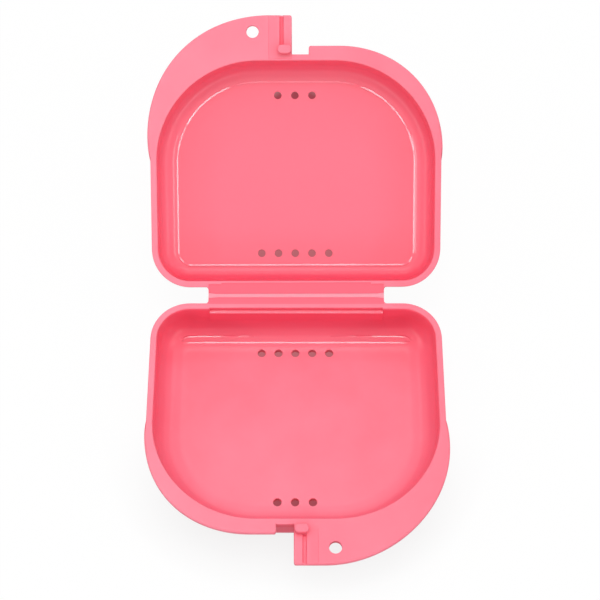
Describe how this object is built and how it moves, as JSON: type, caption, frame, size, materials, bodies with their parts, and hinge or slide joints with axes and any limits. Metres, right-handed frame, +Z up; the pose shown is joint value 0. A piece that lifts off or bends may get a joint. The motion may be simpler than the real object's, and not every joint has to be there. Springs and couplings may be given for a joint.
{
  "type": "orthodontic retainer case",
  "caption": "Pocket-sized hard case for an orthodontic retainer: vented tray and lid on a living hinge, with offset finger tabs, latch pegs and lanyard holes.",
  "frame": {"origin": "middle of the tray's flat foot, on the surface that the case stands on", "axes": "+X along the hinge to the right, +Y from the latch towards the hinge, +Z up out of the tray"},
  "size_m": [0.083, 0.1511, 0.0483],
  "materials": {
    "moulding": "pink injection-moulded polypropylene, satin gloss",
    "hinge_film": "the same polypropylene, thinned to a film that lets light through"
  },
  "bodies": {
    "tray": {"tray": "moulding", "tray_catch_lip": "moulding", "tray_finger_tab": "moulding", "tray_latch_peg": "moulding", "tray_hinge_leaf": "moulding", "living_hinge": "hinge_film"},
    "lid": {"lid": "moulding", "lid_catch_lip": "moulding", "lid_finger_tab": "moulding", "lid_latch_peg": "moulding", "lid_hinge_leaf": "moulding"}
  },
  "joints": [
    {"name": "lid_hinge", "type": "hinge", "parent": "tray", "child": "lid", "pos_m": [0, 0.03517, 0.0137], "axis": [1, 0, 0], "range_deg": [-26, 154], "deforming": ["living_hinge"]}
  ]
}
